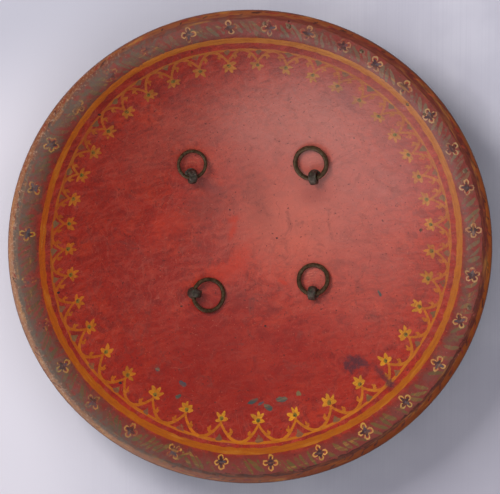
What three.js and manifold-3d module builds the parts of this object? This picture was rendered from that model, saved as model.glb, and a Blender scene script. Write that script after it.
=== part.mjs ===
// Dhal: a round shield of lacquered hide with four grip rings, lying with its hollow side up.
// Millimetres, +Z up. The dish axis is the Z axis and z = 0 is the ground that the bosses rest on.
import * as THREE from 'three';
import { mergeVertices } from 'three/addons/utils/BufferGeometryUtils.js';
import Module from 'manifold-3d';

const wasm = await Module();
wasm.setup();

// Dish
const shieldDiameter = 480;
const hollowRadius = 325;
const hideThickness = 5.5;
const crestInset = 12;
const rimRollRadius = 25;
const groundClearance = 7;

// Place of the four grip fittings, seen from above: about the corners of a square, a little off centre
const fittingSpacing = 124;
const fittingShiftX = 3;
const fittingShiftY = 3;

// Gaps: between pieces that touch, around a shank in its hole, and under a ring that lies down
const seatGap = 0.3;
const shankGap = 0.3;
const restGap = 0.5;
const wireGap = 0.35;

// Eye bolts
const shankDiameter = 5;
const shankDepthInBoss = 9;
const collarDiameter = 12.5;
const collarEdge = 0.9;
const collarRise = 2.2;
const neckDiameter = 6.4;
const eyeLength = 14.4;
const eyeWidth = 7.6;
const eyeHoleDiameter = 8;
const eyeHoleHeight = 8.4;

// Bosses on the front, each a hollow dome on a flange
const bossDiameter = 54;
const bossFlangeThickness = 2.4;
const bossFlangeRound = 0.8;
const bossSkirtDiameter = 42;
const bossDomeRadius = 23;
const bossWall = 2.2;
const bossPostDiameter = 11;
const bossFootDiameter = 11;

// The four fittings: side across, side along, how far off its corner each was set by hand,
// which way its ring lies, ring and wire diameters
const fittings = [
  {
    place: 'upper_left', across: -1, along: 1, offCorner: [0, -1.6],
    lies: [0, 1], ringDiameter: 31, wireDiameter: 3.5,
  },
  {
    place: 'upper_right', across: 1, along: 1, offCorner: [0.8, -2.8],
    lies: [-0.18, 0.98], ringDiameter: 36.5, wireDiameter: 4.7,
  },
  {
    place: 'lower_left', across: -1, along: -1, offCorner: [2.2, -0.8],
    lies: [0.99, -0.14], ringDiameter: 36, wireDiameter: 4.2,
  },
  {
    place: 'lower_right', across: 1, along: -1, offCorner: [0, -0.6],
    lies: [0, 1], ringDiameter: 34, wireDiameter: 4.5,
  },
];

// How far a cutting shape runs past what it cuts
const cutMargin = 5;

// How square the eye's section is: 1 is an ellipse, and smaller is squarer
const eyeSquareness = 0.62;

// Facets round each piece
const dishSegments = 56;
const bossSegments = 18;
const stemSegments = 12;
const eyeSegments = 16;
const eyeSectionSteps = 8;
const ringSegments = 24;
const wireSegments = 8;

// Facets along each arc of a profile
const frontSteps = 8;
const insideSteps = 10;
const rollUnderSteps = 5;
const rollTopSteps = 4;
const rollDropSteps = 2;
const edgeUnderSteps = 3;
const edgeTopSteps = 2;
const domeSteps = 5;
const domeInsideSteps = 2;
const seatSteps = 2;

// Points nearer than this are one point
const weldDistance = 1e-5;

// Everything below follows from the sizes above
const lipRadius = shieldDiameter / 2;
const crestRadius = lipRadius - crestInset;
const edgeRadius = hideThickness / 2;
const frontRadius = hollowRadius + hideThickness;
const sphereCentreZ = frontRadius + groundClearance;
const turnAngle = Math.asin(crestRadius / (hollowRadius + rimRollRadius));
const rollCentreZ = sphereCentreZ - (hollowRadius + rimRollRadius) * Math.cos(turnAngle);
const edgeArcRadius = rimRollRadius - edgeRadius;
const edgeAngle = Math.asin((crestInset - edgeRadius) / edgeArcRadius);
const edgeCentre = new THREE.Vector2(
  crestRadius + edgeArcRadius * Math.sin(edgeAngle),
  rollCentreZ + edgeArcRadius * Math.cos(edgeAngle),
);
const sphereCentre = new THREE.Vector3(0, 0, sphereCentreZ);

// Points on an arc in a plane of radius and height; the angle starts at the height axis
function arc(centreX, centreY, radius, from, to, steps) {
  const points = [];
  for (let i = 0; i <= steps; i += 1) {
    const angle = from + (to - from) * (i / steps);
    points.push(new THREE.Vector2(centreX + radius * Math.sin(angle), centreY + radius * Math.cos(angle)));
  }
  return points;
}

// Drops points that repeat the one before, where two arcs meet
function joined(...runs) {
  const points = [];
  for (const point of runs.flat()) {
    const last = points[points.length - 1];
    if (!last || last.distanceTo(point) > weldDistance) {
      points.push(point);
    }
  }
  return points;
}

function welded(geometry) {
  geometry.deleteAttribute('normal');
  geometry.deleteAttribute('uv');
  return mergeVertices(geometry, weldDistance);
}

function lathe(points, segments) {
  return welded(new THREE.LatheGeometry(points, segments));
}

function toManifold(geometry) {
  return new wasm.Manifold(new wasm.Mesh({
    numProp: 3,
    vertProperties: new Float32Array(geometry.attributes.position.array),
    triVerts: new Uint32Array(geometry.index.array),
  }));
}

function toGeometry(manifold) {
  const mesh = manifold.getMesh();
  const geometry = new THREE.BufferGeometry();
  geometry.setAttribute('position', new THREE.BufferAttribute(mesh.vertProperties, 3));
  geometry.setIndex(new THREE.BufferAttribute(mesh.triVerts, 1));
  return geometry;
}

// Frame of a fitting: out points from the sphere's centre through it, lie is the way its ring
// lies along the hide, and side completes the frame and is the axis of the eye's hole
function fittingFrame(fitting) {
  const x = fittingShiftX + (fitting.across * fittingSpacing) / 2 + fitting.offCorner[0];
  const y = fittingShiftY + (fitting.along * fittingSpacing) / 2 + fitting.offCorner[1];
  const z = -Math.sqrt(hollowRadius ** 2 - x * x - y * y);
  const out = new THREE.Vector3(x, y, z).normalize();
  const lie = new THREE.Vector3(fitting.lies[0], fitting.lies[1], 0);
  lie.addScaledVector(out, -lie.dot(out)).normalize();
  const side = new THREE.Vector3().crossVectors(lie, out);
  return { out, lie, side };
}

// Point at a height above the hide's inside face, on the axis of a fitting
function aboveHide(frame, height) {
  return sphereCentre.clone().addScaledVector(frame.out, hollowRadius - height);
}

// Moves geometry whose Y axis is the distance from the sphere's centre into place
function placeOnAxis(geometry, frame) {
  const matrix = new THREE.Matrix4().makeBasis(frame.lie, frame.out, frame.side);
  matrix.setPosition(sphereCentre);
  return geometry.applyMatrix4(matrix);
}

// Body of the shield

function dishProfile() {
  const underRadius = rimRollRadius - hideThickness;
  return joined(
    arc(0, sphereCentreZ, frontRadius, Math.PI, Math.PI - turnAngle, frontSteps),
    arc(crestRadius, rollCentreZ, underRadius, -turnAngle, edgeAngle, rollUnderSteps),
    arc(edgeCentre.x, edgeCentre.y, edgeRadius, Math.PI + edgeAngle, Math.PI / 2, edgeUnderSteps),
    arc(edgeCentre.x, edgeCentre.y, edgeRadius, Math.PI / 2, edgeAngle, edgeTopSteps),
    arc(crestRadius, rollCentreZ, rimRollRadius, edgeAngle, 0, rollDropSteps),
    arc(crestRadius, rollCentreZ, rimRollRadius, 0, -turnAngle, rollTopSteps),
    arc(0, sphereCentreZ, hollowRadius, Math.PI - turnAngle, Math.PI, insideSteps),
  );
}

function shieldBody() {
  const dish = lathe(dishProfile(), dishSegments);
  dish.rotateX(Math.PI / 2);
  let body = toManifold(dish);
  for (const fitting of fittings) {
    const length = hideThickness + 2 * cutMargin;
    const hole = welded(new THREE.CylinderGeometry(
      shankDiameter / 2 + shankGap, shankDiameter / 2 + shankGap, length, stemSegments,
    ));
    hole.translate(0, hollowRadius + hideThickness / 2, 0);
    body = body.subtract(toManifold(placeOnAxis(hole, fittingFrame(fitting))));
  }
  return toGeometry(body);
}

// Eye bolt: a shank with a collar on the hide, and an oblong eye on top

function eyeBolt(frame) {
  const seatRadius = hollowRadius - seatGap;
  const collarRadius = collarDiameter / 2;
  const neckRadius = neckDiameter / 2;
  const shankRadius = shankDiameter / 2;
  const seatFrom = Math.asin(collarRadius / seatRadius);
  const seatTo = Math.asin(shankRadius / seatRadius);
  const neckTop = hollowRadius - eyeHoleHeight + (eyeHoleDiameter + eyeLength) / 4;
  const stem = [
    new THREE.Vector2(0, neckTop),
    new THREE.Vector2(neckRadius, neckTop),
    new THREE.Vector2(neckRadius, hollowRadius - collarRise),
    new THREE.Vector2(collarRadius, hollowRadius - collarEdge),
    ...arc(0, 0, seatRadius, seatFrom, seatTo, seatSteps),
    new THREE.Vector2(shankRadius, hollowRadius + hideThickness + shankDepthInBoss),
    new THREE.Vector2(0, hollowRadius + hideThickness + shankDepthInBoss),
  ];
  const stemSolid = toManifold(placeOnAxis(lathe(stem, stemSegments), frame));

  // Section of the eye: a rounded block between the hole and the outside
  const inner = eyeHoleDiameter / 2;
  const outer = eyeLength / 2;
  const section = [];
  for (let i = 0; i <= eyeSectionSteps; i += 1) {
    const angle = (i / eyeSectionSteps) * Math.PI * 2;
    const across = Math.sign(Math.cos(angle)) * Math.abs(Math.cos(angle)) ** eyeSquareness;
    const along = Math.sign(Math.sin(angle)) * Math.abs(Math.sin(angle)) ** eyeSquareness;
    section.push(new THREE.Vector2((inner + outer) / 2 + ((outer - inner) / 2) * across, (eyeWidth / 2) * along));
  }
  const eye = lathe(section, eyeSegments);
  const forward = new THREE.Vector3().crossVectors(frame.lie, frame.side);
  const matrix = new THREE.Matrix4().makeBasis(frame.lie, frame.side, forward);
  matrix.setPosition(aboveHide(frame, eyeHoleHeight));
  return toGeometry(stemSolid.add(toManifold(eye.applyMatrix4(matrix))));
}

// Ring: its wire passes through the eye, and its far side lies on the hide

function ringPlace(fitting, frame) {
  const wire = fitting.wireDiameter / 2;
  const middle = fitting.ringDiameter / 2 - wire;
  const bow = middle - Math.sqrt(middle ** 2 - (eyeWidth / 2) ** 2);
  const slack = Math.max(eyeHoleDiameter / 2 - wire - bow - wireGap, 0);
  const pivotFromCentre = hollowRadius - eyeHoleHeight;
  const reach = hollowRadius - wire - restGap;
  const pivot = aboveHide(frame, eyeHoleHeight).addScaledVector(frame.lie, -slack);
  const toPivot = Math.hypot(pivotFromCentre, slack);
  const lean = Math.atan2(-slack, pivotFromCentre);
  const sine = (reach ** 2 - toPivot ** 2 - 4 * middle ** 2) / (4 * middle * toPivot);
  const droop = Math.asin(sine) - lean;
  return { pivot, middle, wire, droop };
}

function strapRing(fitting, frame) {
  const { pivot, middle, wire, droop } = ringPlace(fitting, frame);
  const towards = frame.lie.clone().multiplyScalar(Math.cos(droop)).addScaledVector(frame.out, Math.sin(droop));
  const across = new THREE.Vector3().crossVectors(towards, frame.side);
  const ring = welded(new THREE.TorusGeometry(middle, wire, wireSegments, ringSegments));
  const matrix = new THREE.Matrix4().makeBasis(towards, frame.side, across);
  matrix.setPosition(pivot.addScaledVector(towards, middle));
  return ring.applyMatrix4(matrix);
}

// Boss: a hollow dome on the front, with a post that takes the shank and a flat foot on the ground

function boss(frame) {
  const foot = bossDomeRadius - Math.sqrt(bossDomeRadius ** 2 - (bossFootDiameter / 2) ** 2);
  const domeCentre = (sphereCentreZ - bossDomeRadius + foot) / -frame.out.z;
  const seatRadius = frontRadius + seatGap;
  const rim = bossDiameter / 2;
  const skirt = bossSkirtDiameter / 2;
  const flangeTop = seatRadius + bossFlangeThickness;
  const post = bossPostDiameter / 2;
  const bore = shankDiameter / 2 + shankGap;
  const inside = bossDomeRadius - bossWall;
  const crossing = Math.acos(THREE.MathUtils.clamp((flangeTop - domeCentre) / bossDomeRadius, -1, 1));
  const domeFrom = Math.min(Math.asin(Math.min(skirt / bossDomeRadius, 1)), crossing);
  const domeBase = bossDomeRadius * Math.sin(domeFrom);
  const innerSkirt = domeBase - bossWall;
  const innerFrom = Math.asin(innerSkirt / inside);
  const innerTo = Math.asin(post / inside);
  const seatAt = (radius) => Math.sqrt(seatRadius ** 2 - radius ** 2);
  const profile = joined(
    [new THREE.Vector2(0, frontRadius + shankDepthInBoss + shankGap)],
    [new THREE.Vector2(bore, frontRadius + shankDepthInBoss + shankGap)],
    [new THREE.Vector2(bore, seatAt(bore)), new THREE.Vector2(post, seatAt(post))],
    arc(0, domeCentre, inside, innerTo, innerFrom, domeInsideSteps),
    [new THREE.Vector2(innerSkirt, seatAt(innerSkirt))],
    [new THREE.Vector2(rim, seatAt(rim))],
    [new THREE.Vector2(rim, seatAt(rim) + bossFlangeThickness - bossFlangeRound)],
    [new THREE.Vector2(rim - bossFlangeRound, seatAt(rim) + bossFlangeThickness)],
    [new THREE.Vector2(domeBase, seatAt(domeBase) + bossFlangeThickness)],
    arc(0, domeCentre, bossDomeRadius, domeFrom, 0, domeSteps),
  );
  const dome = toManifold(placeOnAxis(lathe(profile, bossSegments), frame));
  const ground = welded(new THREE.BoxGeometry(shieldDiameter, shieldDiameter, bossDiameter));
  ground.translate(0, 0, -bossDiameter / 2);
  return toGeometry(dome.subtract(toManifold(ground)));
}

// Assembly

const lacquer = () => new THREE.MeshStandardMaterial({ color: '#a63f33', roughness: 0.35, metalness: 0 });
const oldBrass = () => new THREE.MeshStandardMaterial({ color: '#5a4a34', roughness: 0.5, metalness: 0.8 });
const oldIron = () => new THREE.MeshStandardMaterial({ color: '#4c443c', roughness: 0.55, metalness: 0.8 });

function part(name, geometry, material) {
  const mesh = new THREE.Mesh(geometry, material);
  mesh.name = name;
  return mesh;
}

const shield = new THREE.Group();
shield.add(part('shield_body', shieldBody(), lacquer()));
for (const fitting of fittings) {
  const frame = fittingFrame(fitting);
  shield.add(part(`boss_${fitting.place}`, boss(frame), oldBrass()));
  shield.add(part(`ring_eye_${fitting.place}`, eyeBolt(frame), oldIron()));
  shield.add(part(`strap_ring_${fitting.place}`, strapRing(fitting, frame), oldIron()));
}

export default shield;
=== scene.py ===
import math
import random

import bmesh
import bpy
import numpy as np
from mathutils import Matrix, Vector, noise
from mathutils.geometry import delaunay_2d_cdt


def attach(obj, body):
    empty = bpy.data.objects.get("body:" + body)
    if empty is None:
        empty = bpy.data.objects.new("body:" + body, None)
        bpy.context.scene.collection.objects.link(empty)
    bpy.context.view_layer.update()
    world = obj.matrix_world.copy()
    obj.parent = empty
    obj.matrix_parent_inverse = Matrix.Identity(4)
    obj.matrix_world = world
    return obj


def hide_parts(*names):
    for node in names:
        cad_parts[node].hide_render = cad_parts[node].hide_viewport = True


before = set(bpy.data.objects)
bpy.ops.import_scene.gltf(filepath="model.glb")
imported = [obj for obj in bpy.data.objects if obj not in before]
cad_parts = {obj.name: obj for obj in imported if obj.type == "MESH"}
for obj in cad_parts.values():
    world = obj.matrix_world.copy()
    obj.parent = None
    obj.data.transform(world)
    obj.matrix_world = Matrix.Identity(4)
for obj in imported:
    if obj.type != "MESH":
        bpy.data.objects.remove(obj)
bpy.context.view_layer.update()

scene = bpy.context.scene
MM = 0.001
TURN = 2 * math.pi

# Sizes in millimetres, the same as in the part's source
SHIELD_RADIUS = 240.0
HOLLOW_RADIUS = 325.0
HIDE = 5.5
CREST_RADIUS = 228.0
ROLL_RADIUS = 25.0
CLEARANCE = 7.0
SPACING = 124.0
SHIFT = (3.0, 3.0)
GAP = 0.3
DOME_RADIUS = 23.0
FOOT_RADIUS = 5.5
EYE_HEIGHT = 8.4
EYE_HOLE = 8.0
EYE_WIDTH = 7.6
EYE_LENGTH = 14.4

# What follows from them
FRONT_RADIUS = HOLLOW_RADIUS + HIDE
SPHERE_Z = FRONT_RADIUS + CLEARANCE
TURN_ANGLE = math.asin(CREST_RADIUS / (HOLLOW_RADIUS + ROLL_RADIUS))
TANGENT_RADIUS = HOLLOW_RADIUS * math.sin(TURN_ANGLE)
ROLL_Z = SPHERE_Z - (HOLLOW_RADIUS + ROLL_RADIUS) * math.cos(TURN_ANGLE)
EDGE_RADIUS = HIDE / 2
EDGE_ANGLE = math.asin((SHIELD_RADIUS - CREST_RADIUS - EDGE_RADIUS) / (ROLL_RADIUS - EDGE_RADIUS))
EDGE_X = CREST_RADIUS + (ROLL_RADIUS - EDGE_RADIUS) * math.sin(EDGE_ANGLE)
EDGE_Z = ROLL_Z + (ROLL_RADIUS - EDGE_RADIUS) * math.cos(EDGE_ANGLE)
TOP_RADIUS = CREST_RADIUS + ROLL_RADIUS * math.sin(EDGE_ANGLE)
SPHERE_CENTRE = Vector((0, 0, SPHERE_Z))

# The four grip fittings: corner of the square, how far off it, way the ring lies, ring and wire diameters
FITTINGS = {
    "upper_left": ((-1, 1), (0.0, -1.6), (0, 1), 31.0, 3.5),
    "upper_right": ((1, 1), (0.8, -2.8), (-0.18, 0.98), 36.5, 4.7),
    "lower_left": ((-1, -1), (2.2, -0.8), (0.99, -0.14), 36.0, 4.2),
    "lower_right": ((1, -1), (0.0, -0.6), (0, 1), 34.0, 4.5),
}


def linear(red, green, blue):
    """Scene-linear colour from the usual 0 to 255 values."""
    out = []
    for value in (red, green, blue):
        v = value / 255
        out.append(v / 12.92 if v <= 0.04045 else ((v + 0.055) / 1.055) ** 2.4)
    return tuple(out)


def shades(*colours):
    return [linear(*colour) for colour in colours]


def smooth(edge0, edge1, value):
    t = np.clip((value - edge0) / (edge1 - edge0), 0, 1)
    return t * t * (3 - 2 * t)


# Slight waves of the pressed hide
WAVES = []
wave_random = random.Random(41)
for _ in range(16):
    wave_length = wave_random.uniform(34, 150)
    wave_turn = wave_random.uniform(0, TURN)
    WAVES.append((
        math.cos(wave_turn) * TURN / wave_length,
        math.sin(wave_turn) * TURN / wave_length,
        wave_random.uniform(0, TURN),
        0.0011 * wave_length,
    ))

# Shallow dents, knocked into the hide from outside: place, size and depth
DENTS = [
    (-18, -22, 16, 0.35), (38, 8, 12, -0.25), (-96, 40, 22, 0.4), (84, -100, 18, 0.35),
    (12, 118, 20, -0.3), (128, 40, 15, 0.3), (-60, -120, 24, -0.35), (-30, 62, 9, 0.22),
    (6, -8, 8, -0.22), (150, -60, 20, 0.35),
]

# Small nail heads in the outer band: place, radius and height
NAILS = [
    (37.3, 224.0, 2.6, 1.3), (108.9, 199.1, 2.2, 1.1), (211.7, 79.5, 2.6, 1.3), (217.7, -59.2, 2.5, 1.2),
    (154.7, 145.3, 1.8, 0.9), (171.3, 136.0, 1.6, 0.8), (13.5, 227.0, 2.0, 1.0),
]


def waves(x, y):
    """How far the face stands off the plain form: waves, dents and a small hollow for each nail."""
    total = np.zeros_like(x)
    for kx, ky, phase, size in WAVES:
        total += size * np.sin(kx * x + ky * y + phase)
    for dx, dy, size, depth in DENTS:
        total -= depth * np.exp(-((x - dx) ** 2 + (y - dy) ** 2) / size ** 2)
    reach = np.hypot(x, y)
    total = total * (1 - 0.85 * smooth(196, 226, reach))
    for nail_x, nail_y, radius, height in NAILS:
        total -= (height + 0.12) * np.exp(-((x - nail_x) ** 2 + (y - nail_y) ** 2) / (2.2 * radius) ** 2)
    return total


def inside_height(x, y):
    r = np.hypot(x, y)
    sphere = SPHERE_Z - np.sqrt(HOLLOW_RADIUS ** 2 - np.minimum(r, TANGENT_RADIUS) ** 2)
    roll = ROLL_Z + np.sqrt(np.maximum(ROLL_RADIUS ** 2 - (r - CREST_RADIUS) ** 2, 0))
    height = np.where(r <= TANGENT_RADIUS, sphere, roll) + waves(x, y) * (r < 232)
    return np.minimum(height, ROLL_Z + ROLL_RADIUS)


# Painted ornament, drawn flat from above in millimetres

OLIVE = linear(104, 88, 60)
MOSS = linear(104, 100, 36)
INK = linear(36, 32, 40)
SLATE = linear(62, 66, 74)
PETAL_RED = linear(150, 52, 32)
DARK_RED = linear(104, 22, 18)
LIP_RED = linear(120, 34, 18)
LIP_DARK = linear(58, 24, 18)
TEAL = linear(50, 76, 74)

# Paint by the way round the dish, in equal steps clockwise from the top. Wear is the share that is left, and
# the gold of the lip begins at the radii of the last row.
THICK_GOLD = shades((182, 108, 32), (180, 106, 38), (174, 100, 34), (164, 88, 8),
                    (162, 84, 2), (168, 84, 4), (180, 84, 8), (186, 96, 18))
ARCH_GOLD = shades((178, 104, 36), (176, 102, 42), (176, 102, 36), (182, 104, 18),
                   (184, 104, 10), (176, 92, 10), (172, 84, 14), (172, 90, 28))
BLOSSOM_GOLD = shades((182, 122, 46), (178, 116, 48), (180, 118, 40), (194, 132, 22),
                      (196, 132, 16), (188, 112, 16), (182, 98, 16), (178, 104, 34))
FLOWER_CREAM = shades((170, 126, 84), (174, 132, 88), (180, 138, 88), (194, 146, 74),
                      (208, 150, 56), (168, 126, 60), (180, 130, 44), (176, 130, 66))
LEAF = shades((98, 86, 66), (104, 90, 72), (100, 86, 62), (96, 80, 40),
              (88, 78, 30), (84, 74, 46), (86, 68, 44), (92, 74, 54))
# The lip rows carry painted light as well as paint: gold and red-brown paler and greyer on the left and lower
# left are a painted highlight off the rolled lip; red-brown darker towards the right and bottom and the edge
# line darkest at the lower right and bottom are painted shade.
LIP_GOLD_AND_LIGHT = shades((122, 62, 22), (108, 46, 18), (134, 64, 8), (116, 50, 2),
                  (112, 44, 0), (136, 88, 54), (152, 102, 70), (112, 60, 34))
LIP_INSIDE_AND_LIGHT = shades((92, 30, 20), (84, 26, 20), (78, 24, 20), (58, 24, 20),
                    (60, 28, 20), (94, 66, 52), (104, 82, 68), (98, 52, 42))
EDGE_LINE_AND_LIGHT = shades((88, 44, 32), (66, 30, 24), (58, 26, 20), (40, 18, 14),
                   (30, 14, 12), (98, 62, 50), (110, 70, 56), (96, 54, 42))
SCROLL_WEAR = [0.74, 0.66, 0.66, 0.86, 0.96, 0.86, 0.74, 0.72]
FLOWER_WEAR = [0.66, 0.74, 0.78, 0.86, 0.90, 0.66, 0.76, 0.62]
LIP_GOLD_FROM = [235.4, 237.2, 235.4, 232.9, 233.0, 233.6, 234.4, 235.2]

# Rows of the ornament
FLOWERS = 31
BLOSSOMS = 39
LIP_DASHES = 170
HATCHES = 64
BAND_RADIUS = 221
BLOSSOM_BASE = 186.5

rng = random.Random(7)
shapes = []


def tint(colour, amount=0.1):
    k = 1 + rng.uniform(-amount, amount)
    return tuple(min(c * k * (1 + rng.uniform(-amount, amount) * 0.4), 1) for c in colour)


def around(values, angle):
    """Blend of values that are given in equal steps clockwise from the top."""
    count = len(values)
    at = (angle / TURN * count) % count
    first = int(at)
    share = at - first
    share = share * share * (3 - 2 * share)
    a, b = values[first], values[(first + 1) % count]
    if isinstance(a, tuple):
        return tuple(p + (q - p) * share for p, q in zip(a, b))
    return a + (b - a) * share


def polar(radius, angle):
    return (radius * math.sin(angle), radius * math.cos(angle))


def local(centre, angle, side, inward):
    """Point beside a centre: side runs clockwise round the dish, and inward runs towards its middle."""
    cx, cy = centre
    return (
        cx + side * math.cos(angle) - inward * math.sin(angle),
        cy - side * math.sin(angle) - inward * math.cos(angle),
    )


def reached(centre, angle, way, reach):
    """Point at a reach from a centre, in a way that turns from the dish's middle towards clockwise."""
    return local(centre, angle, math.sin(way) * reach, math.cos(way) * reach)


def add_shape(points, colour, paint=1.0, jitter=0.0):
    """Keeps a painted outline, with its points running anticlockwise."""
    shaken = [(x + rng.uniform(-jitter, jitter), y + rng.uniform(-jitter, jitter)) for x, y in points]
    area = sum(x0 * y1 - x1 * y0 for (x0, y0), (x1, y1) in zip(shaken, shaken[1:] + shaken[:1]))
    if area < 0:
        shaken.reverse()
    shapes.append((shaken, (*colour, paint)))


def curve_through(points, steps=6):
    """Smooth line through a few points."""
    out = []
    last = len(points) - 1
    for i in range(last):
        a = points[max(i - 1, 0)]
        b = points[i]
        c = points[i + 1]
        d = points[min(i + 2, last)]
        for s in range(steps):
            t = s / steps
            out.append(tuple(
                0.5 * (2 * b[k] + (c[k] - a[k]) * t + (2 * a[k] - 5 * b[k] + 4 * c[k] - d[k]) * t * t
                       + (3 * b[k] - a[k] - 3 * c[k] + d[k]) * t ** 3)
                for k in (0, 1)
            ))
    out.append(points[-1])
    return out


def stroke(points, widths, colour, paint=1.0, steps=6, jitter=0.08):
    """A brush stroke along a line; widths are its full width at the start, the middle and the end."""
    line = curve_through(points, steps)
    left, right = [], []
    last = len(line) - 1
    for i, (x, y) in enumerate(line):
        before = line[max(i - 1, 0)]
        after = line[min(i + 1, last)]
        dx, dy = after[0] - before[0], after[1] - before[1]
        size = math.hypot(dx, dy) or 1
        nx, ny = -dy / size, dx / size
        t = i / last
        w = widths[0] * (1 - t) * (1 - 2 * t) + 4 * widths[1] * t * (1 - t) + widths[2] * t * (2 * t - 1)
        w = max(w, 0.2) / 2
        left.append((x + nx * w, y + ny * w))
        right.append((x - nx * w, y - ny * w))
    add_shape(left + right[::-1], colour, paint, jitter)


def blob(centre, angle, half_side, half_in, colour, paint=1.0, points=10, jitter=0.2, turn=0.0):
    outline = []
    for i in range(points):
        a = TURN * i / points
        s, n = half_side * math.cos(a), half_in * math.sin(a)
        side = s * math.cos(turn) - n * math.sin(turn)
        inward = s * math.sin(turn) + n * math.cos(turn)
        outline.append(local(centre, angle, side, inward))
    add_shape(outline, colour, paint, jitter)


def wander(angle, mean, pairs):
    """Radius of a line drawn by hand round the dish."""
    total = mean
    for m, (c, s) in enumerate(pairs, start=1):
        total = total + c * np.cos(m * angle) + s * np.sin(m * angle)
    return total


def thick_line(angle):
    return wander(angle, 208.6, ((1.56, 0.23), (0.75, 0.67), (-0.22, -0.63), (-0.73, -0.53), (-0.87, -0.16)))


def thin_line(angle):
    return wander(angle, 199.3, ((-0.35, 0.0), (0.87, 0.94), (-0.27, -0.56), (-0.35, -0.84), (-0.66, 0.12)))


def lip_line(angle):
    slow = wander(angle, 232.4, ((0.9, -0.1), (0.5, 0.3), (0.2, -0.2), (0.15, 0.25)))
    return slow + 0.25 * np.sin(23 * angle)


def lip_gold_line(angle):
    """Where the gold of the lip begins; inside it the lip is a dark red-brown."""
    if isinstance(angle, float):
        return around(LIP_GOLD_FROM, angle)
    return np.array([around(LIP_GOLD_FROM, a) for a in angle])


def spaced(count, index, start, terms):
    """Azimuth of one of a row of hand-spaced motifs, in radians."""
    phase = TURN * index / count
    degrees = 360 * index / count + start
    for m, (c, s) in enumerate(terms, start=1):
        degrees += c * math.cos(m * phase) + s * math.sin(m * phase)
    return math.radians(degrees)


def gaps(angles):
    """Start and end of each gap between neighbours round the dish."""
    return zip(angles, angles[1:] + [angles[0] + TURN])


flower_angles = [spaced(FLOWERS, k, 1.38, ((1.81, -7.76), (1.63, -0.49))) for k in range(FLOWERS)]
blossom_angles = [spaced(BLOSSOMS, k, 1.55, ((-0.45, -8.56), (1.27, 3.44))) for k in range(BLOSSOMS)]


# Leaf strokes between the flowers, drawn first so that everything else lies over them

def leaf_gap(start, end):
    room = (end - start) * BAND_RADIUS - 16
    count = max(3, round(room / 5.6))
    for i in range(count):
        middle = start + (end - start) * 0.5 + ((i + 0.5) / count - 0.5) * (room + 3) / BAND_RADIUS
        middle += rng.uniform(-0.005, 0.005)
        if rng.random() < 0.12:
            continue
        outer = 229.4 + rng.uniform(-3.0, 1.2)
        inner = 214.8 + rng.uniform(-1.0, 3.5)
        lean = rng.uniform(0.012, 0.032)
        # At the lower left the strokes lean the other way
        if 3.45 < middle < 3.75:
            lean = -lean
        bend = rng.uniform(-0.006, 0.008)
        points = [
            polar(outer, middle - lean),
            polar((outer + inner) / 2, middle + bend),
            polar(inner, middle + lean),
        ]
        width = rng.uniform(3.6, 5.6)
        colour = tint(around(LEAF, middle), 0.16)
        strength = rng.uniform(0.5, 0.78)
        stroke(points, (2.4, width * 1.35, 2.0), colour, strength * 0.5, steps=5, jitter=0.35)
        stroke(points, (1.3, width * 0.85, 1.0), colour, strength, steps=5, jitter=0.3)


for start_angle, end_angle in gaps(flower_angles):
    leaf_gap(start_angle, end_angle)


# Scroll arches between the blossoms, with a spur on each leg

def arch_radius(angle, share):
    """Radius of an arch at a share of its span."""
    top = float(thin_line(angle)) - 0.4
    return BLOSSOM_BASE - 1 + (top - BLOSSOM_BASE + 1) * (1 - abs(2 * share - 1) ** 1.9)


def arch(start, end):
    span = end - start
    points = []
    for i in range(11):
        angle = start + span * (i / 10)
        points.append(polar(arch_radius(angle, i / 10), angle))
    middle = (start + end) / 2
    wear = around(SCROLL_WEAR, middle)
    for half, widths in ((points[:6], (2.1, 2.7, 2.9)), (points[5:], (2.9, 2.7, 2.1))):
        gold = tint(around(ARCH_GOLD, middle), 0.1)
        stroke(half, widths, gold, wear * rng.uniform(0.9, 1.04), steps=4, jitter=0.14)
    for share, way in ((0.19, 1), (0.81, -1)):
        angle = start + span * (share + rng.uniform(-0.03, 0.03))
        root = polar(arch_radius(angle, share) + 0.4, angle)
        length = rng.uniform(4.8, 6.4)
        gold = tint(around(ARCH_GOLD, middle), 0.1)
        lean = rng.uniform(0.45, 0.8)
        tip = local(root, angle, way * length * math.cos(lean), length * math.sin(lean))
        half = length * 0.55
        knee = local(root, angle, way * half * math.cos(lean * 0.6), half * math.sin(lean * 0.6))
        stroke([root, knee, tip], (2.0, 3.0, 0.7), gold, wear, steps=4, jitter=0.25)
        bud = local(root, angle, way * length * 0.35, length * 0.95)
        stroke([knee, bud], (1.8, 2.2, 0.8), gold, wear * 0.9, steps=3, jitter=0.25)


for start_angle, end_angle in gaps(blossom_angles):
    arch(start_angle, end_angle)


# Olive spots between the arch shoulders, and the blossoms where the arches meet

def olive_spot(angle):
    base = float(thin_line(angle)) - 0.8
    centre = polar(base, angle)
    wide = rng.uniform(3.4, 4.6)
    deep = rng.uniform(4.6, 6.2)
    outline = [local(centre, angle, side, inward) for side, inward in (
        (-wide, 0.3), (-wide * 0.45, -0.7), (wide * 0.45, -0.7), (wide, 0.3),
        (wide * 0.55, deep * 0.5), (0.3, deep), (-wide * 0.6, deep * 0.5),
    )]
    add_shape(outline, tint(OLIVE, 0.2), rng.uniform(0.58, 0.8), 0.7)


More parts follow.
